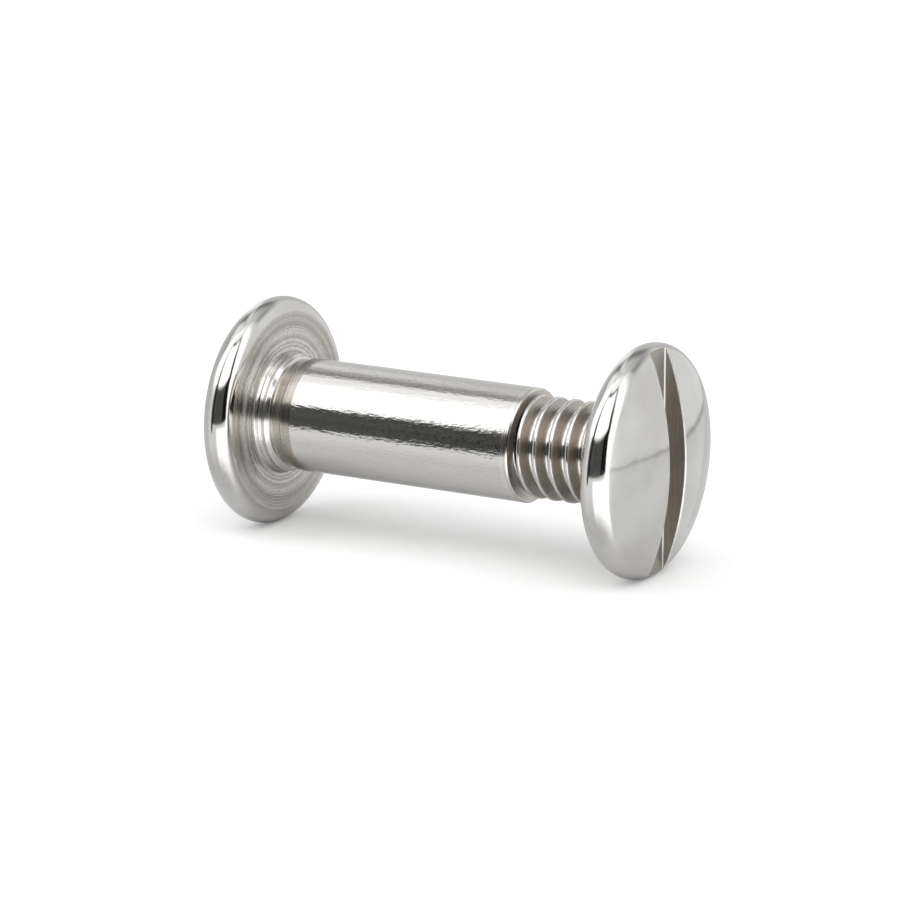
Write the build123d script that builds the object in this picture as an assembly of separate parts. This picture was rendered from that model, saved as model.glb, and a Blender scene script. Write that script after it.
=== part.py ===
from build123d import *
import math
import os

# A binding barrel screw: a domed barrel with a smooth post and a blind
# tapped hole, and a domed, slotted screw that runs in the hole.
# Both pieces are turned about one axis, which lies along X of the row, one
# head radius above the table. Millimetres throughout.

# The two domed heads, which are alike
head_d = 9.0            # over the rim
bearing_edge = 0.6      # radius of the round at the edge of the flat bearing face
rim_round = 0.7         # radius of the rolled rim on the domed side
rim_wrap_deg = 52.0     # how far the rim rolls round before the dome starts
dome_r = 11.3           # radius of the dome
round_tolerance = 0.009

# The screw's thread
thread_d = 3.96         # over the crests
thread_pitch = 0.70
thread_half_angle = 30.0
thread_depth = 0.6134 * thread_pitch
crest_flat = thread_pitch / 8

# The rest of the screw
tip_room = 0.9          # left under the tip when the heads are screwed home
tip_chamfer = 0.45
relief_over_root = 0.04
relief_plain = 0.10     # plain neck between the thread and the fillet under the head
fillet_over_crest = 0.02    # radial: where that fillet meets the bearing face
slot_w = 1.25
slot_depth = 0.97       # from the top of the dome

# The barrel's post and its hole
post_len = 11.2         # bearing face to the mouth
post_wall = 0.185       # round the hole
mouth_chamfer = 0.12
bore_clearance = 0.05   # radial, over the crests of the screw's thread
bore_stop = 2.6         # bearing face to the end of the full-width hole
drill_point_deg = 118.0

# The foot of the post: a small ring, a sloping shoulder and a tapered neck
ring_over_post = 0.185
ring_h = 0.22
shoulder_over_post = 0.005
shoulder_len = 0.36
neck_under_post = 0.12  # radial, at the neck's deep end, by the ring
neck_taper = 0.07       # radial, what the neck gains on its way to the post
neck_len = 0.68
neck_bevel = 0.04       # axial size of the bevel at each end of the neck

# How the two pieces stand at rest
turns_out = 6           # whole turns between the mouth and the screw's head
crest_top_x = 0.87      # a crest crosses the top of the shank here, past the mouth

overrun = 0.3           # how far a cutter or a joined stem runs past its face

head_r = head_d / 2
thread_r = thread_d / 2
root_r = thread_r - thread_depth
bore_r = thread_r + bore_clearance
post_r = bore_r + post_wall
relief_r = root_r + relief_over_root
underhead_r = thread_r + fillet_over_crest
relief_len = underhead_r - relief_r + relief_plain
shank_len = post_len - bore_stop - tip_room
rest_gap = turns_out * thread_pitch


# Where the rolled rim meets the dome: height over the bearing face, and radius.
def rim_meets_dome():
    wrap = math.radians(rim_wrap_deg)
    along = bearing_edge + rim_round * math.sin(wrap)
    radius = head_r - rim_round + rim_round * math.cos(wrap)
    return along, radius


# Height of a head, from its bearing face to the top of its dome.
def head_height():
    along, radius = rim_meets_dome()
    return along + dome_r - math.sqrt(dome_r**2 - radius**2)


# Points along a round of an outline, whose angles are measured from straight
# outwards. It is turned as narrow bevels, none of which lies further from the
# true round than round_tolerance.
def round_points(centre, radius, start_deg, end_deg):
    widest = 2 * math.degrees(math.acos(1 - round_tolerance / radius))
    bevels = math.ceil((end_deg - start_deg) / widest)
    points = []
    for i in range(bevels + 1):
        angle = math.radians(start_deg + (end_deg - start_deg) * i / bevels)
        points.append(
            (centre[0] + radius * math.cos(angle), centre[1] + radius * math.sin(angle))
        )
    return points


# A head as a solid of revolution about Z, flat face at z = 0, dome upwards.
# Its seam is on the -X side, which is uppermost in the row, clear of the table.
def domed_head():
    along, radius = rim_meets_dome()
    tall = head_height()
    edge = round_points((head_r - bearing_edge, bearing_edge), bearing_edge, -90, 0)
    rim = round_points((head_r - rim_round, bearing_edge), rim_round, 0, rim_wrap_deg)
    half = math.asin(radius / dome_r) / 2
    dome_mid = (dome_r * math.sin(half), tall - dome_r + dome_r * math.cos(half))
    with BuildPart() as head:
        with BuildSketch(Plane.XZ):
            with BuildLine():
                Polyline((0, 0), *edge, *rim[1:])
                ThreePointArc((radius, along), dome_mid, (0, tall))
                Line((0, tall), (0, 0))
            make_face()
        revolve(axis=Axis.Z)
    return head.part.rotate(Axis.Z, 180)


# A solid of revolution about Z from (radius, height) points, closed on the axis.
def turned(points):
    with BuildPart() as piece:
        with BuildSketch(Plane.XZ):
            with BuildLine():
                Polyline(*points, close=True)
            make_face()
        revolve(axis=Axis.Z)
    return piece.part


# The barrel, built with its bearing face at z = 0 and its post upwards.
def make_barrel():
    ring_r = post_r + ring_over_post
    neck_r = post_r - neck_under_post
    shoulder_end = ring_h + shoulder_len
    neck_start = shoulder_end + neck_bevel
    neck_end = neck_start + neck_len
    stem = turned(
        [
            (0, -overrun),
            (ring_r, -overrun),
            (ring_r, ring_h),
            (post_r + shoulder_over_post, shoulder_end),
            (neck_r, neck_start),
            (neck_r + neck_taper, neck_end),
            (post_r, neck_end + neck_bevel),
            (post_r, post_len - mouth_chamfer),
            (post_r - mouth_chamfer, post_len),
            (0, post_len),
        ]
    )
    point = bore_r / math.tan(math.radians(drill_point_deg / 2))
    bore = turned(
        [
            (0, bore_stop - point),
            (bore_r, bore_stop),
            (bore_r, post_len + overrun),
            (0, post_len + overrun),
        ]
    )
    head = domed_head().mirror(Plane.XY)
    return (head + stem) - bore


# Radius and height at the corners of the thread's section, over one pitch:
# the crest's flat, the flank down, the root's flat and the flank up.
def thread_corners(z):
    slope = thread_depth * math.tan(math.radians(thread_half_angle))
    return [
        (thread_r, z),
        (thread_r, z + crest_flat),
        (root_r, z + crest_flat + slope),
        (root_r, z + thread_pitch - slope),
        (thread_r, z + thread_pitch),
    ]


# One right-handed turn of the edge that a corner of the section draws.
def one_turn(radius, z):
    turn = Helix(pitch=thread_pitch, height=thread_pitch, radius=radius, center=(0, 0, z))
    return turn.edge()


# The faces of one turn of the thread: crest, flank, root and flank.
def thread_turn(z):
    rails = [one_turn(radius, height) for radius, height in thread_corners(z)]
    return [Face.make_surface_from_curves(a, b) for a, b in zip(rails, rails[1:])]


# What closes an end of the thread: a spiral floor from the axis out to the
# crest, and the flat step where that floor has climbed by one pitch.
def thread_end(z):
    axis = Edge.make_line((0, 0, z), (0, 0, z + thread_pitch))
    floor = Face.make_surface_from_curves(axis, one_turn(thread_r, z))
    corners = [(radius, 0, height) for radius, height in thread_corners(z)]
    step = Polyline((0, 0, z), *corners, (0, 0, z + thread_pitch), close=True)
    return [floor, Face(Wire(step.edges()))]


# A threaded rod about Z as one solid, from z = low to past z = high.
# One of its crests crosses the +X side at z = low.
def threaded_rod(low, high):
    start = low - crest_flat / 2
    turns = math.ceil((high - start) / thread_pitch)
    faces = thread_end(start) + thread_end(start + turns * thread_pitch)
    for k in range(turns):
        faces += thread_turn(start + k * thread_pitch)
    return Solid(Shell(faces))


# The plain neck under the screw's head, with the fillet that leads it out to
# the bearing face, inside the mouth of the hole when the screw is home.
def make_relief():
    fillet_r = underhead_r - relief_r
    fillet = round_points((underhead_r, -fillet_r), fillet_r, 90, 180)
    corners = [(0, overrun), (underhead_r, overrun), *fillet, (relief_r, -relief_len)]
    return turned([*corners, (0, -relief_len)])


# The screw, built with its bearing face at z = 0, head upwards, tip down.
# The long rod is trimmed by a turned blank, which leaves its chamfered tip
# and stops the thread short of the head, where the relief takes over.
# The +X side lies underneath in the row, half a pitch from the top's crests.
def make_screw():
    crest_z = crest_top_x - rest_gap + thread_pitch / 2
    below = math.ceil((crest_z + shank_len) / thread_pitch) + 1
    rod = threaded_rod(crest_z - below * thread_pitch, 0)
    blank = turned(
        [
            (0, -shank_len),
            (thread_r - tip_chamfer, -shank_len),
            (thread_r + overrun, -shank_len + tip_chamfer + overrun),
            (thread_r + overrun, -relief_len),
            (0, -relief_len),
        ]
    )
    slot = Pos(0, 0, head_height()) * Box(2 * head_d, slot_w, 2 * slot_depth)
    return (domed_head() - slot) + ((rod & blank) + make_relief())


# Z of the builders turns onto X of the row, and their X onto -Z.
def lay_down(shape):
    return Rot(0, 90, 0) * shape


# The row: the axis lies one head radius above the table, the whole rest
# length is centred on X = 0, and the table is Z = 0.
tall = head_height()
slotted_tall = tall - dome_r + math.sqrt(dome_r**2 - (slot_w / 2) ** 2)
rest_length = tall + post_len + rest_gap + slotted_tall
bearing_x = -rest_length / 2 + tall

barrel = Pos(bearing_x, 0, head_r) * lay_down(make_barrel())
screw = Pos(bearing_x + post_len + rest_gap, 0, head_r) * lay_down(make_screw())

os.makedirs("parts", exist_ok=True)
export_step(barrel, "parts/barrel.step")
export_step(screw, "parts/screw.step")

print("bearing face", round(bearing_x, 4), "head height", round(tall, 4))
print("mouth", round(bearing_x + post_len, 4))
print("screw's bearing face", round(bearing_x + post_len + rest_gap, 4))
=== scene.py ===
import math

import bmesh
import bpy
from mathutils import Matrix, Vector


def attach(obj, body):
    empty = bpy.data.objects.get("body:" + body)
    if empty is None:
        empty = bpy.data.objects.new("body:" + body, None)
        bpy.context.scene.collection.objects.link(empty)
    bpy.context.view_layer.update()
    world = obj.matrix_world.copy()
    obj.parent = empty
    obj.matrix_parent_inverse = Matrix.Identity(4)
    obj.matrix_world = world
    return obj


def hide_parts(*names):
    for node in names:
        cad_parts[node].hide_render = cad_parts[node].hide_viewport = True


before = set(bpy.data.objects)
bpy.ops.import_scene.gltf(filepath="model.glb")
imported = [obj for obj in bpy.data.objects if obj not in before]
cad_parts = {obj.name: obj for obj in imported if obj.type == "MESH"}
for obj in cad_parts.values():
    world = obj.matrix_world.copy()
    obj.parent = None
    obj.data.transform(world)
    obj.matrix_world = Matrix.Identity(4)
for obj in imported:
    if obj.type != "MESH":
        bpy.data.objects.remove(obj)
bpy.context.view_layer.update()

# ---- The barrel ---------------------------------------------------------------------------
# One brass turning with a blind threaded post and a domed head, nickel plated all over. It is
# turned and parted off a bar, tapped from the open end, and its head is polished after plating;
# the post keeps the lengthwise grain of the brush and the bearing face the rings of the tool.

MM = 0.001
MERGE = 0.0005 * MM
STEPS_ROUND = 192
AXIS_HEIGHT = 4.5
BARREL_FACE = -7.6914
MOUTH = 3.5086
POST_R = 2.215
HOLE_R = 1.67
PITCH = 0.70
CREST_ON_TOP = 4.3786


class Wire:
    """A socket in a node tree: sums on it add Math nodes, and node() adds any other kind."""

    def __init__(self, tree, socket=None):
        self.tree = tree
        self.socket = socket

    def __getitem__(self, output):
        return Wire(self.tree, self.socket.node.outputs[output])

    def node(self, kind, settings=None, sockets=None, output=0):
        """A new node: its settings first, then the values or wires of its sockets."""
        made = self.tree.nodes.new(kind)
        for key, value in (settings or {}).items():
            setattr(made, key, value)
        for key, value in (sockets or {}).items():
            if isinstance(value, Wire):
                self.tree.links.new(value.socket, made.inputs[key])
            else:
                made.inputs[key].default_value = value
        return Wire(self.tree, made.outputs[output] if made.outputs else made.inputs[0])

    def sum(self, operation, *values):
        return self.node("ShaderNodeMath", {"operation": operation}, dict(enumerate(values)))

    def __add__(self, other):
        return self.sum("ADD", self, other)

    def __sub__(self, other):
        return self.sum("SUBTRACT", self, other)

    def __mul__(self, other):
        return self.sum("MULTIPLY", self, other)

    def __truediv__(self, other):
        return self.sum("DIVIDE", self, other)

    def __rsub__(self, other):
        return self.sum("SUBTRACT", other, self)

    __radd__ = __add__
    __rmul__ = __mul__

    def ease(self, low, high):
        """0 below low, 1 above high, smooth between; turned round where low is the larger."""
        return self.node(
            "ShaderNodeMapRange",
            {"interpolation_type": "SMOOTHSTEP"},
            {"Value": self, "From Min": low, "From Max": high},
        )

    def within(self, low, high, soft):
        """1 between low and high, 0 outside, with edges twice soft wide."""
        return self.ease(low - soft, low + soft) * self.ease(high + soft, high - soft)

    def blend(self, level, mask):
        """This level where the mask is 0, the other where it is 1."""
        return self + (level - self) * mask

    def noise(self, place, scale, detail=2.0, rough=0.5):
        return self.node(
            "ShaderNodeTexNoise",
            {"noise_dimensions": "3D"},
            {"Vector": place, "Scale": scale, "Detail": detail, "Roughness": rough},
        )

    def point(self, x, y, z):
        return self.node("ShaderNodeCombineXYZ", {}, {"X": x, "Y": y, "Z": z})

    def colours(self, factor, first, second):
        return self.node(
            "ShaderNodeMix",
            {"data_type": "RGBA"},
            {0: factor, 6: first, 7: second},
            output=2,
        )


def lathe():
    """The tree that turns a section round the long axis, with a lead where it is a thread."""
    tree = bpy.data.node_groups.new("turned on a lathe", "GeometryNodeTree")
    tree.interface.new_socket("Section", in_out="INPUT", socket_type="NodeSocketGeometry")
    tree.interface.new_socket("Steps round", in_out="INPUT", socket_type="NodeSocketInt")
    for size in (
        "Lead",
        "Axis height",
        "Near end",
        "Near radius",
        "Near slope",
        "Far end",
        "Far radius",
        "Far slope",
        "Far neck",
    ):
        tree.interface.new_socket(size, in_out="INPUT", socket_type="NodeSocketFloat")
    tree.interface.new_socket("Finish", in_out="INPUT", socket_type="NodeSocketMaterial")
    tree.interface.new_socket("Turned", in_out="OUTPUT", socket_type="NodeSocketGeometry")

    given = Wire(tree).node("NodeGroupInput")
    steps = given["Steps round"]
    points = given.node(
        "GeometryNodeAttributeDomainSize", {"component": "MESH"}, {"Geometry": given["Section"]}
    )
    sheet = given.node(
        "GeometryNodeMeshGrid", {}, {"Vertices X": points, "Vertices Y": steps + 1}
    )
    index = given.node("GeometryNodeInputIndex")
    row = ((index + 0.5) / (steps + 1)).sum("FLOOR", (index + 0.5) / (steps + 1))
    turn = (index - row * (steps + 1)) / steps
    section = given.node(
        "GeometryNodeSampleIndex",
        {"data_type": "FLOAT_VECTOR", "domain": "POINT"},
        {
            "Geometry": given["Section"],
            "Value": given.node("GeometryNodeInputPosition"),
            "Index": row,
        },
    )
    section = given.node("ShaderNodeSeparateXYZ", {}, {"Vector": section})
    along = section["X"] + given["Lead"] * turn
    along = along.sum("MAXIMUM", along, given["Near end"])
    along = along.sum("MINIMUM", along, given["Far end"])
    near = given["Near radius"] + (along - given["Near end"]) * given["Near slope"]
    past_neck = given["Far end"] - along - given["Far neck"]
    past_neck = past_neck.sum("MAXIMUM", past_neck, 0.0)
    far = given["Far radius"] + past_neck * given["Far slope"]
    radius = near.sum("MINIMUM", near.sum("MINIMUM", section["Z"], near), far)
    angle = turn * math.tau
    place = given.point(
        along,
        0.0 - radius * angle.sum("SINE", angle),
        radius * angle.sum("COSINE", angle) + given["Axis height"],
    )
    turned = given.node("GeometryNodeSetPosition", {}, {"Geometry": sheet, "Position": place})
    turned = given.node(
        "GeometryNodeMergeByDistance", {}, {"Geometry": turned, "Distance": MERGE}
    )
    turned = given.node("GeometryNodeRealizeInstances", {}, {"Geometry": turned})
    turned = given.node(
        "GeometryNodeSetMaterial", {}, {"Geometry": turned, "Material": given["Finish"]}
    )
    given.node("NodeGroupOutput", {}, {"Turned": turned})
    return tree


LATHE = lathe()


def turned(section, finish, **sizes):
    """The mesh that a section of (along, radius) points in mm makes on the lathe."""
    line = bpy.data.meshes.new("section")
    line.from_pydata([(x * MM, 0.0, r * MM) for x, r in section], [], [])
    blank = bpy.data.objects.new("blank", line)
    bpy.context.scene.collection.objects.link(blank)
    modifier = blank.modifiers.new("lathe", "NODES")
    modifier.node_group = LATHE
    values = {
        "Steps round": STEPS_ROUND,
        "Lead": 0.0,
        "Axis height": AXIS_HEIGHT * MM,
        "Near end": -1.0,
        "Near radius": 1.0,
        "Near slope": 0.0,
        "Far end": 1.0,
        "Far radius": 1.0,
        "Far slope": 0.0,
        "Far neck": 0.0,
        "Finish": finish,
    }
    values.update({name.replace("_", " ").capitalize(): size for name, size in sizes.items()})
    for item in LATHE.interface.items_tree:
        if item.name in values:
            modifier[item.identifier] = values[item.name]
    graph = bpy.context.evaluated_depsgraph_get()
    mesh = bpy.data.meshes.new_from_object(blank.evaluated_get(graph))
    bpy.data.objects.remove(blank)
    mesh.materials.clear()
    mesh.materials.append(finish)
    return mesh


def arc(centre, radius, start, end, count):
    """Points of a section on an arc, its angles in degrees from outwards towards +X."""
    places = [math.radians(start + (end - start) * i / count) for i in range(count + 1)]
    return [(centre[0] + radius * math.sin(a), centre[1] + radius * math.cos(a)) for a in places]


def eased(corners, count=4, guard=0.03):
    """A section through corners (along, radius, rounding), each broken by a small arc.

    A guard point either side of each arc keeps the flats flat.
    """
    points = [corners[0][:2]]
    for before, corner, after in zip(corners, corners[1:], corners[2:]):
        here = Vector(corner[:2])
        back = Vector(before[:2]) - here
        on = Vector(after[:2]) - here
        half = back.angle(on) / 2
        reach = corner[2] / math.tan(half)
        middle = here + (back.normalized() + on.normalized()).normalized() * (
            corner[2] / math.sin(half)
        )
        first = here + back.normalized() * reach
        last = here + on.normalized() * reach
        points.append(tuple(here + back.normalized() * (reach + guard)))
        for i in range(count + 1):
            spoke = (first - middle).lerp(last - middle, i / count).normalized() * corner[2]
            points.append(tuple(middle + spoke))
        points.append(tuple(here + on.normalized() * (reach + guard)))
    points.append(corners[-1][:2])
    return points


def one_piece(name, stretches):
    """One closed mesh of stretches that meet edge to edge, each with its own finish."""
    whole = bmesh.new()
    finishes = []
    for stretch in stretches:
        first = len(whole.faces)
        whole.from_mesh(stretch)
        whole.faces.ensure_lookup_table()
        if stretch.materials[0] not in finishes:
            finishes.append(stretch.materials[0])
        for face in whole.faces[first:]:
            face.material_index = finishes.index(stretch.materials[0])
            face.smooth = True
    bmesh.ops.remove_doubles(whole, verts=whole.verts, dist=MERGE)
    bmesh.ops.recalc_face_normals(whole, faces=whole.faces)
    mesh = bpy.data.meshes.new(name)
    whole.to_mesh(mesh)
    whole.free()
    for finish in finishes:
        mesh.materials.append(finish)
    piece = bpy.data.objects.new(name, mesh)
    bpy.context.scene.collection.objects.link(piece)
    return piece


NICKEL = (0.66, 0.65, 0.63, 1.0)


def finish(name):
    """A new nickel finish: its shader, and where on the row it is, in mm from the axis."""
    material = bpy.data.materials.new(name)
    material.use_nodes = True
    tree = material.node_tree
    tree.nodes.clear()
    start = Wire(tree)
    shader = start.node("ShaderNodeBsdfPrincipled", {}, {"Metallic": 1.0, "Base Color": NICKEL})
    start.node("ShaderNodeOutputMaterial", {}, {"Surface": shader})
    place = start.node("ShaderNodeTexCoord", {}, {}, "Object")
    place = start.node(
        "ShaderNodeMapping",
        {},
        {
            "Vector": place,
            "Location": (0.0, 0.0, -AXIS_HEIGHT),
            "Scale": (1 / MM, 1 / MM, 1 / MM),
        },
    )
    return material, shader, place


def dress(shader, **inputs):
    """Links what varies over the surface to the shader's sockets."""
    for name, wire in inputs.items():
        shader.tree.links.new(wire.socket, shader.socket.node.inputs[name.replace("_", " ")])


def relief(shader, height):
    """Bump from a height in mm."""
    return shader.node("ShaderNodeBump", {}, {"Strength": 1.0, "Distance": MM, "Height": height})


def from_axis(place):
    """The distance from the long axis and the distance along it, in mm."""
    parts = place.node("ShaderNodeSeparateXYZ", {}, {"Vector": place})
    square = parts["Y"] * parts["Y"] + parts["Z"] * parts["Z"]
    return square.sum("SQRT", square), parts["X"]


def polished():
    """Nickel over a buffed surface, faintly uneven, with a few small stains."""
    material, shader, place = finish("polished nickel")
    cloud = place.noise(place, 0.42, 3.0)
    swirl = place.noise(place, 2.6, 2.0)
    speck = place.noise(place, 11.0, 3.0, 0.65)
    tone = shader.colours(
        cloud.ease(0.35, 0.65), (0.60, 0.592, 0.572, 1.0), (0.67, 0.665, 0.65, 1.0)
    )
    tone = shader.colours(speck.ease(0.70, 0.76) * 0.5, tone, (0.30, 0.285, 0.26, 1.0))
    bump = relief(shader, cloud * 0.012 + swirl * 0.0012 + speck * 0.00012)
    dress(shader, Base_Color=tone, Roughness=0.05 + cloud * 0.05 + speck * 0.03, Normal=bump)
    return material


def ringed(name, feed, depth, waves, cone, dark, pale, rough):
    """Nickel over a faced surface, with the tool's round grooves feed mm apart, depth mm deep.

    Waves scales the slower rises and dips between the grooves, and cone leans the whole face.
    """
    material, shader, place = finish(name)
    radius, along = from_axis(place)
    ring = place.point(radius, along, 0.0)
    broad = place.noise(ring, 3.2, 2.0, 0.6)
    narrow = place.noise(ring, 11.0, 2.0, 0.6)
    grain = place.noise(place, 7.0, 3.0, 0.6)
    drift = place.noise(place, 0.8, 1.0)
    groove = (radius + along + narrow * 0.03 + drift * 0.02) * (math.tau / feed)
    groove = groove.sum("SINE", groove) * depth
    strong = broad.ease(0.36, 0.60) * 0.75 + 0.25
    shade = narrow.ease(0.35, 0.65) * 0.7 + grain.ease(0.30, 0.70) * 0.3
    outer_band = radius.within(3.42, 3.90, 0.04)
    shade = shade * (1.0 - outer_band * 0.55)
    tone = shader.colours(shade, dark, pale)
    bump = relief(
        shader,
        groove * strong + (broad * 0.026 + narrow * 0.005) * waves + grain * 0.0012 - radius * cone,
    )
    dress(shader, Base_Color=tone, Roughness=rough + narrow * 0.12 + grain * 0.08, Normal=bump)
    return material


def brushed():
    """Nickel over a surface brushed along the post."""
    material, shader, place = finish("brushed nickel")
    parts = place.node("ShaderNodeSeparateXYZ", {}, {"Vector": place})
    long = place.point(parts["X"] * 0.07, parts["Y"], parts["Z"])
    streak = place.noise(long, 15.0, 3.0, 0.6)
    short = place.point(parts["X"] * 0.38, parts["Y"], parts["Z"])
    dash = place.noise(short, 10.0, 1.0, 0.5)
    broad = place.noise(long, 2.2, 2.0)
    tone = shader.colours(streak, (0.60, 0.59, 0.565, 1.0), (0.72, 0.71, 0.69, 1.0))
    bump = relief(shader, streak * 0.0034 + dash * 0.0062 + broad * 0.008)
    dress(shader, Base_Color=tone, Roughness=0.03 + streak * 0.07 + dash * 0.05, Normal=bump)
    return material


def threaded():
    """Nickel over a cut thread, dull and warm on the flanks, with a painted highlight on the crests
    and roots.
    """
    material, shader, place = finish("cut nickel")
    radius, along = from_axis(place)
    parts = place.node("ShaderNodeSeparateXYZ", {}, {"Vector": place})
    tool = place.noise(place.point(along * 5.0, parts["Y"], parts["Z"]), 2.6, 3.0, 0.6)
    grain = place.noise(place, 9.0, 3.0, 0.6)
    ring = place.noise(place.point(radius, 0.0, 0.0), 26.0, 2.0, 0.6)
    # The crest and root bands: a painted highlight in colour below, and a smoother finish.
    crest_root_highlight_and_gloss = radius.ease(1.905, 1.945) + radius.ease(1.625, 1.585)
    tone = shader.colours(
        tool * 0.5 + ring * 0.5, (0.32, 0.29, 0.25, 1.0), (0.54, 0.50, 0.45, 1.0)
    )
    # Painted highlight: the crest and root bands take a pale colour over the flanks' tone.
    tone = shader.colours(crest_root_highlight_and_gloss, tone, (0.70, 0.69, 0.67, 1.0))
    bump = relief(shader, tool * 0.007 + grain * 0.004 + ring * 0.010)
    dress(shader, Base_Color=tone, Roughness=0.16 + tool * 0.12 - crest_root_highlight_and_gloss * 0.10, Normal=bump)
    return material


POLISHED = polished()
FACED = ringed(
    "faced nickel",
    feed=0.060,
    depth=0.0052,
    waves=1.0,
    cone=0.06,
    dark=(0.36, 0.335, 0.30, 1.0),
    pale=(0.78, 0.76, 0.73, 1.0),
    rough=0.08,
)
COLLARED = ringed(
    "collar nickel",
    feed=0.09,
    depth=0.0006,
    waves=0.25,
    cone=0.0,
    dark=(0.60, 0.58, 0.55, 1.0),
    pale=(0.78, 0.77, 0.75, 1.0),
    rough=0.05,
)
NECKED = ringed(
    "neck nickel",
    feed=0.06,
    depth=0.0006,
    waves=0.12,
    cone=0.0,
    dark=(0.42, 0.385, 0.34, 1.0),
    pale=(0.60, 0.57, 0.525, 1.0),
    rough=0.09,
)
PARTED = ringed(
    "parted nickel",
    feed=0.05,
    depth=0.0035,
    waves=0.5,
    cone=0.0,
    dark=(0.52, 0.485, 0.44, 1.0),
    pale=(0.78, 0.75, 0.71, 1.0),
    rough=0.26,
)
BRUSHED = brushed()
CUT = threaded()

EDGE_R = 3.931
RIM_X = 0.569
RIM_AT = 3.8
RIM_R = 0.7
DOME_R = 11.3
DOME_HEIGHT = 1.9736
DOME_CENTRE = DOME_HEIGHT - DOME_R
DOME_EDGE = math.degrees(math.atan2(RIM_AT, RIM_X - DOME_CENTRE))


def head_section():
    """A head from its bearing face's edge to the top of its dome, along from the face outwards."""
    edge = arc((RIM_X, EDGE_R), RIM_X, -90, 0, 22)
    rim = arc((RIM_X, RIM_AT), RIM_R, 0, 90 - DOME_EDGE, 26)[1:]
    dome = arc((DOME_CENTRE, 0.0), DOME_R, 90 - DOME_EDGE, 90, 40)[1:]
    return edge + rim + dome


head = [(BARREL_FACE - x, r) for x, r in head_section()]
FACE_TO = 2.50
face = [(BARREL_FACE, EDGE_R - (EDGE_R - FACE_TO) * i / 12) for i in range(13)]
root = [(BARREL_FACE, FACE_TO), (BARREL_FACE, 2.43), (BARREL_FACE + 0.02, 2.415)]
root += [(BARREL_FACE + 0.19, 2.315), (BARREL_FACE + 0.21, 2.30)]
collar = [
    (BARREL_FACE + x, r, rounding)
    for x, r, rounding in (
        (0.21, 2.30, 0.0),
        (0.24, 2.285, 0.01),
        (0.27, 2.325, 0.03),
        (0.41, 2.32, 0.06),
        (0.55, 2.21, 0.03),
        (0.58, 2.13, 0.0),
    )
]
collar = eased(collar, guard=0.004)
POST_FROM = 1.50
POST_L = 9.4
neck = [
    (BARREL_FACE + x, r, rounding)
    for x, r, rounding in (
        (0.58, 2.13, 0.0),
        (0.60, 2.09, 0.02),
        (1.02, 2.145, 0.02),
        (1.08, POST_R, 0.02),
        (POST_FROM, POST_R, 0.0),
    )
]
neck = eased(neck, guard=0.008)
post = [(BARREL_FACE + POST_FROM + POST_L * i / 12, POST_R) for i in range(13)]
CHAMFER = 0.06
END_R = 2.12
lip = eased(
    [
        (MOUTH - 0.30, POST_R, 0.0),
        (MOUTH - CHAMFER, POST_R, 0.02),
        (MOUTH, 2.155, 0.015),
        (MOUTH, END_R, 0.0),
    ],
    guard=0.01,
)
end = [(MOUTH, END_R - (END_R - HOLE_R - 0.05) * i / 4) for i in range(5)]
end += [
    (MOUTH - 0.005, HOLE_R + 0.045),
    (MOUTH - 0.045, HOLE_R + 0.005),
    (MOUTH - CHAMFER, HOLE_R),
]


def flanked(middle, half):
    """One turn of a thread's section, from half of it as (distance from its middle, radius)."""
    before = [(middle - x, r) for x, r in half]
    return before + [(middle + x, r) for x, r in reversed(half[:-1])]


TURNS = 14
THREAD_NEAR = BARREL_FACE + 3.2
GROOVE = (
    (0.290, HOLE_R),
    (0.255, HOLE_R + 0.012),
    (0.225, HOLE_R + 0.045),
    (0.095, 2.02),
    (0.065, 2.045),
    (0.0, 2.050),
)
first_groove = CREST_ON_TOP - PITCH * TURNS
thread = []
for turn in range(TURNS):
    thread += flanked(first_groove + PITCH * turn, GROOVE)
DRILLED_TO = BARREL_FACE + 2.60
DRILL_SLOPE = math.tan(math.radians(59))
bore = [
    (THREAD_NEAR, HOLE_R),
    (BARREL_FACE + 2.70, HOLE_R),
    (BARREL_FACE + 2.62, HOLE_R - 0.02),
    (DRILLED_TO, HOLE_R - 0.08),
    (DRILLED_TO - (HOLE_R - 0.3) / DRILL_SLOPE, 0.3),
    (DRILLED_TO - HOLE_R / DRILL_SLOPE, 0.0),
]
barrel = one_piece(
    "barrel_body",
    [
        turned(head, POLISHED),
        turned(face, FACED),
        turned(root, FACED),
        turned(collar, COLLARED),
        turned(neck, NECKED),
        turned(post, BRUSHED),
        turned(lip, COLLARED),
        turned(end, PARTED),
        turned(
            thread,
            CUT,
            lead=PITCH * MM,
            near_end=THREAD_NEAR * MM,
            near_radius=HOLE_R * MM,
            near_slope=1.0,
            far_end=(MOUTH - CHAMFER) * MM,
            far_radius=HOLE_R * MM,
            far_slope=2.5,
        ),
        turned(bore, CUT),
    ],
)
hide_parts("barrel")
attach(barrel, "barrel")

# ---- The screw ----------------------------------------------------------------------------
# The barrel's mate, of the same plated brass: a domed head with a straight screwdriver slot
# milled across it, and a shank rolled with a right-hand M4 thread that ends in a plain neck
# under the head. The slot is cut before plating, so that its walls are plated but not polished.

SCREW_FACE = 7.7086
TIP = SCREW_FACE - 7.7
CREST_R = 1.98
ROOT_R = 1.5506
NECK_R = 1.545
NECK_FROM = SCREW_FACE - 0.16
TIP_CHAMFER = 0.45


def milled(name, dark, pale, rough):
    """Nickel over a milled surface, with the cutter's fine lines up and down."""
    material, shader, place = finish(name)
    across = place.node("ShaderNodeSeparateXYZ", {}, {"Vector": place})
    lines = place.point(across["X"] * 6.0, across["Y"] * 6.0, across["Z"] * 0.25)
    cut = place.noise(lines, 2.4, 3.0, 0.7)
    broad = place.noise(place, 0.7, 2.0)
    tone = shader.colours(cut.ease(0.3, 0.7) * 0.6 + broad * 0.4, dark, pale)
    bump = relief(shader, cut * 0.009)
    dress(shader, Base_Color=tone, Roughness=rough + cut * 0.16, Normal=bump)
    return material


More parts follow.
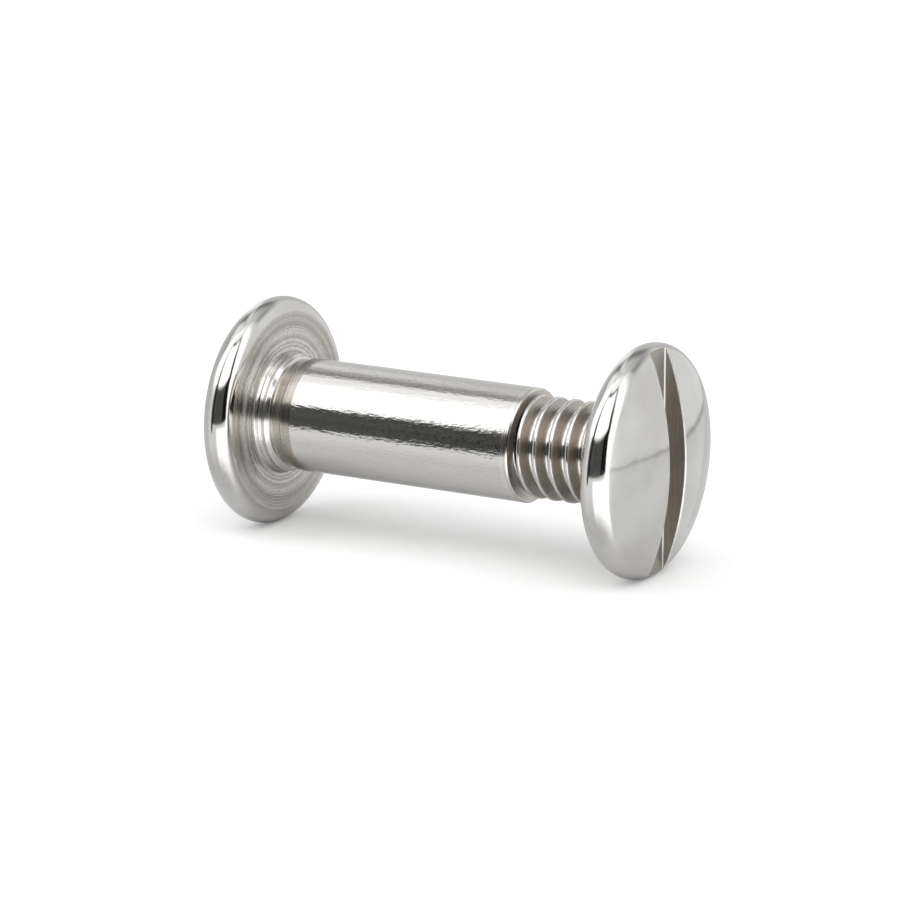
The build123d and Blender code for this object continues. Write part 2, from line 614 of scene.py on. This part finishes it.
WALLED = milled("slot wall nickel", (0.44, 0.41, 0.37, 1.0), (0.62, 0.59, 0.545, 1.0), 0.24)
# Painted shade: the slot's floor takes darker colours than its walls.
FLOOR_IN_PAINTED_SHADE = milled("slot floor nickel in painted shade", (0.32, 0.30, 0.27, 1.0), (0.46, 0.435, 0.40, 1.0), 0.24)
# Painted highlight: the broken edges along the slot's lips and the floor's corners take pale
# colours.
BROKEN_EDGE_HIGHLIGHT = milled("slot edge nickel with painted highlight", (0.78, 0.77, 0.75, 1.0), (0.86, 0.85, 0.83, 1.0), 0.34)
RIDGE = (
    (0.350, ROOT_R),
    (0.315, ROOT_R + 0.002),
    (0.285, ROOT_R + 0.018),
    (0.258, ROOT_R + 0.055),
    (0.078, CREST_R - 0.050),
    (0.060, CREST_R - 0.016),
    (0.038, CREST_R - 0.002),
    (0.0, CREST_R),
)
TURNS_BEFORE_TOP = 8
ridges = []
for turn in range(TURNS):
    ridges += flanked(CREST_ON_TOP - PITCH * (TURNS_BEFORE_TOP - turn), RIDGE)[:-1]
UNDER_TO = 2.0
under = [(SCREW_FACE, EDGE_R - (EDGE_R - UNDER_TO) * i / 12) for i in range(13)]
throat = eased(
    [(SCREW_FACE, UNDER_TO, 0.0), (SCREW_FACE, NECK_R, 0.09), (NECK_FROM, NECK_R, 0.0)],
    count=6,
    guard=0.005,
)
screw = one_piece(
    "screw_body",
    [
        turned([(SCREW_FACE + x, r) for x, r in head_section()], POLISHED),
        turned(under, FACED),
        turned(throat, NECKED),
        turned(
            ridges,
            CUT,
            lead=PITCH * MM,
            near_end=TIP * MM,
            near_radius=(CREST_R - TIP_CHAMFER) * MM,
            near_slope=1.0,
            far_end=NECK_FROM * MM,
            far_radius=NECK_R * MM,
            far_slope=1.2,
            far_neck=0.32 * MM,
        ),
        turned([(TIP, CREST_R - TIP_CHAMFER), (TIP, 0.5), (TIP, 0.0)], NECKED),
    ],
)

SLOT_W = 1.25
SLOT_FLOOR = SCREW_FACE + 1.0036
EDGE_BREAK = 0.05
CORNER = 0.04
FLARE = 0.4
CUTTER_REACH = 5.0
CUTTER_TOP = SCREW_FACE + 4.0
STATIONS = 61
SURFACES = (WALLED, FLOOR_IN_PAINTED_SHADE, BROKEN_EDGE_HIGHLIGHT)
# What each side of the cutter leaves, from the floor's left corner round to the left wall: the
# floor in painted shade, the broken edges with a painted highlight.
SIDES = (BROKEN_EDGE_HIGHLIGHT, FLOOR_IN_PAINTED_SHADE, BROKEN_EDGE_HIGHLIGHT, WALLED, BROKEN_EDGE_HIGHLIGHT, WALLED, WALLED, WALLED, BROKEN_EDGE_HIGHLIGHT, WALLED)


def crown(radius):
    """How far the head's outside stands from its bearing face at a radius from the axis."""
    if radius < DOME_R * math.sin(math.radians(DOME_EDGE)):
        return DOME_CENTRE + math.sqrt(DOME_R**2 - radius**2)
    return RIM_X + math.sqrt(max(RIM_R**2 - (radius - RIM_AT) ** 2, 0.0))


cutter = bmesh.new()
layer = []
for i in range(STATIONS):
    z = CUTTER_REACH * (i / 30 - 1)
    lip_x = SCREW_FACE + crown(min(math.hypot(z, SLOT_W / 2), 4.5))
    lip_x = max(lip_x, SLOT_FLOOR + 0.1) - EDGE_BREAK
    wall = SLOT_W / 2
    outline = [
        (SLOT_FLOOR + CORNER, -wall),
        (SLOT_FLOOR, -wall + CORNER),
        (SLOT_FLOOR, wall - CORNER),
        (SLOT_FLOOR + CORNER, wall),
        (lip_x, wall),
        (lip_x + FLARE, wall + FLARE),
        (CUTTER_TOP, wall + FLARE),
        (CUTTER_TOP, -wall - FLARE),
        (lip_x + FLARE, -wall - FLARE),
        (lip_x, -wall),
    ]
    next_layer = [cutter.verts.new((x * MM, y * MM, (AXIS_HEIGHT + z) * MM)) for x, y in outline]
    for j, (a, b) in enumerate(zip(layer, layer[1:] + layer[:1])):
        side = cutter.faces.new((a, b, next_layer[(j + 1) % len(SIDES)], next_layer[j]))
        side.material_index = SURFACES.index(SIDES[j])
    if i in (0, STATIONS - 1):
        cutter.faces.new(next_layer)
    layer = next_layer
bmesh.ops.recalc_face_normals(cutter, faces=cutter.faces)
block = bpy.data.meshes.new("slot cutter")
cutter.to_mesh(block)
cutter.free()
for surface in SURFACES:
    block.materials.append(surface)
cutter = bpy.data.objects.new("slot cutter", block)
bpy.context.scene.collection.objects.link(cutter)
cut = screw.modifiers.new("slot", "BOOLEAN")
cut.operation = "DIFFERENCE"
cut.solver = "EXACT"
cut.material_mode = "TRANSFER"
cut.object = cutter
graph = bpy.context.evaluated_depsgraph_get()
slotted = bpy.data.meshes.new_from_object(screw.evaluated_get(graph))
screw.modifiers.clear()
screw.data = slotted
slotted.set_sharp_from_angle(angle=math.radians(35))
bpy.data.objects.remove(cutter)
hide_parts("screw")
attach(screw, "screw")

# ---- The studio ---------------------------------------------------------------------------
# The screw lies on white board in a white tent. Its front is open towards the camera: a bright
# window above, the dark room below it, and a thin dark frame round both, all of which the
# polished metal mirrors. The camera stands front right of it, a little above.

LOOK_AZIMUTH = 30.534
LOOK_ELEVATION = 13.873
CAMERA_BACK = 176.578
CAMERA_RIGHT = 6.405
CAMERA_UP = -1.531
LENS = 179.60
BOARD_REACH = 2.0
WHITE = (1.0, 1.0, 1.0, 1.0)

board = bpy.data.meshes.new("board")
corners = [(x * BOARD_REACH, y * BOARD_REACH, 0.0) for x, y in ((-1, -1), (1, -1), (1, 1), (-1, 1))]
board.from_pydata(corners, [], [(0, 1, 2, 3)])
board = bpy.data.objects.new("board", board)
bpy.context.scene.collection.objects.link(board)
white = bpy.data.materials.new("white board")
white.use_nodes = True
white.node_tree.nodes.clear()
start = Wire(white.node_tree)
path = start.node("ShaderNodeLightPath")
place = start.node(
    "ShaderNodeMapping",
    {},
    {
        "Vector": start.node("ShaderNodeTexCoord", {}, {}, "Object"),
        "Scale": (1 / MM, 1 / MM, 1 / MM),
    },
)
spot = start.node("ShaderNodeSeparateXYZ", {}, {"Vector": place})
beneath = spot["X"].within(-12.0, 12.5, 2.0) * spot["Y"].within(-4.0, 6.0, 2.5)
paint = start.colours(path["Is Glossy Ray"], (0.93, 0.93, 0.93, 1.0), (0.80, 0.80, 0.80, 1.0))
lit = start.node("ShaderNodeBsdfDiffuse", {}, {"Color": paint})
glow = start.node(
    "ShaderNodeEmission",
    {},
    {"Color": WHITE, "Strength": path["Is Camera Ray"] * 0.15},
)
both = start.node("ShaderNodeAddShader", {}, {0: lit, 1: glow})
open_air = start.node("ShaderNodeBsdfTransparent")
surface = start.node(
    "ShaderNodeMixShader",
    {},
    {0: path["Is Glossy Ray"] * (1.0 - beneath), 1: both, 2: open_air},
)
start.node("ShaderNodeOutputMaterial", {}, {"Surface": surface})
board.data.materials.append(white)

world = bpy.data.worlds.new("tent")
bpy.context.scene.world = world
world.use_nodes = True
world.node_tree.nodes.clear()
start = Wire(world.node_tree)
path = start.node("ShaderNodeLightPath")
way = start.node("ShaderNodeTexCoord", {}, {}, "Generated")
cloth = start.noise(way, 3.0, 3.0, 0.6)
fine = start.noise(way, 9.0, 3.0, 0.6)
parts = start.node("ShaderNodeSeparateXYZ", {}, {"Vector": way})
# Side is how far a direction lies round from the front, and rise how far above level: degrees.
side = parts.sum("ARCTAN2", parts["X"], 0.0 - parts["Y"]) * math.degrees(1)
rise = parts.sum("ARCSINE", parts["Z"]) * math.degrees(1)
middle = math.radians(28.0)
across = parts["X"] * math.cos(middle) + parts["Y"] * math.sin(middle)
ahead = parts["X"] * math.sin(middle) - parts["Y"] * math.cos(middle)

# The cloth of the tent: its walls, its roof and the window, from the left round to the right.
tent = 0.84 + cloth * 0.16 + rise.ease(45.0, 80.0) * 0.50
tent = tent - ahead.ease(0.02, -0.10) * rise.ease(30.0, 50.0) * 0.50
tent = tent - side.ease(-50.0, -75.0) * rise.ease(70.0, 40.0) * 0.25
tent = tent + side.within(-142.0, -128.0, 6.0) * rise.ease(78.0, 60.0) * 0.5
tent = tent.blend(1.75, side.within(80.0, 108.0, 8.0) * rise.ease(78.0, 70.0))
tent = tent.blend(1.25, side.within(-112.0, -70.0, 8.0) * rise.ease(38.0, 50.0))
tent = tent.blend(1.85, side.within(-76.0, -20.0, 8.0) * rise.ease(10.0, 30.0))
tent = tent.blend(2.2, side.within(-20.0, 66.0, 2.0) * rise.within(30.0, 70.0, 2.0))
tent = tent.blend(1.75, side.within(72.0, 86.0, 2.0) * rise.ease(60.0, 50.0))
# The window's frame, and the rib of the roof.
posts = side.within(-33.0, -20.0, 1.5) + side.within(60.0, 74.0, 1.5)
posts = posts * rise.within(20.0, 71.0, 2.0)
tent = tent.blend(0.06, posts * (1.0 - rise.ease(34.0, 60.0) * 0.4))
tent = tent.blend(0.15, side.within(-24.0, 70.0, 2.0) * rise.within(70.0, 74.0, 1.0))
rib = across.sum("ABSOLUTE", across).within(0.22, 0.245, 0.012) * rise.ease(30.0, 45.0)
tent = tent.blend(0.40, rib * ahead.ease(0.37, 0.32))
# The board further out, and the seam where it meets the walls.
ground = 0.58 + rise.ease(-78.0, -18.0) * 0.24 - side.ease(-50.0, -80.0) * 0.12
ground = ground + side.within(-60.0, 0.0, 10.0) * rise.ease(-40.0, -20.0) * 0.12
ground = ground.blend(1.75, side.within(2.0, 106.0, 8.0) * rise.ease(-56.0, -28.0))
level = tent.blend(ground, rise.ease(-9.0, -10.0))
seam = rise + cloth * 3.0 + fine * 1.2 - 2.1
level = level.blend(0.40, seam.within(-9.9, -9.1, 0.3) * side.within(104.0, 184.0, 3.0))
# The dark room in front, below the window.
room = side.ease(-41.0, -38.0) * (side + rise * 0.3).ease(77.0, 74.0)
room = room * (rise + fine * 5.0).ease(31.0, 28.0)
room = room * (rise + side.ease(-24.0, -31.0) * 7.0).ease(-7.0, -5.5)
gloom = 0.01 + fine * 0.17 - side.within(46.0, 80.0, 5.0) * 0.12
gloom = gloom - side.within(-28.0, -20.0, 1.0) * 0.12
level = level.blend(gloom.sum("MAXIMUM", gloom, 0.012), room)
level = level.blend(1.0, path["Is Camera Ray"])
sky = start.node("ShaderNodeBackground", {}, {"Color": WHITE, "Strength": level})
start.node("ShaderNodeOutputWorld", {}, {"Surface": sky})

turn_z = math.radians(LOOK_AZIMUTH)
tilt = math.radians(LOOK_ELEVATION)
back = Vector(
    (math.sin(turn_z) * math.cos(tilt), -math.cos(turn_z) * math.cos(tilt), math.sin(tilt))
)
right = Vector((math.cos(turn_z), math.sin(turn_z), 0.0))
camera = bpy.data.objects.new("camera", bpy.data.cameras.new("camera"))
bpy.context.scene.collection.objects.link(camera)
camera.data.sensor_width = 36.0
camera.data.lens = LENS
camera.data.clip_start = 0.005
camera.data.clip_end = 20.0
camera.location = (
    back * CAMERA_BACK
    + right * CAMERA_RIGHT
    + back.cross(right) * CAMERA_UP
    + Vector((BARREL_FACE, 0.0, AXIS_HEIGHT))
) * MM
camera.rotation_euler = (-back).to_track_quat("-Z", "Y").to_euler()
bpy.context.scene.camera = camera
bpy.context.scene.view_settings.view_transform = "Standard"
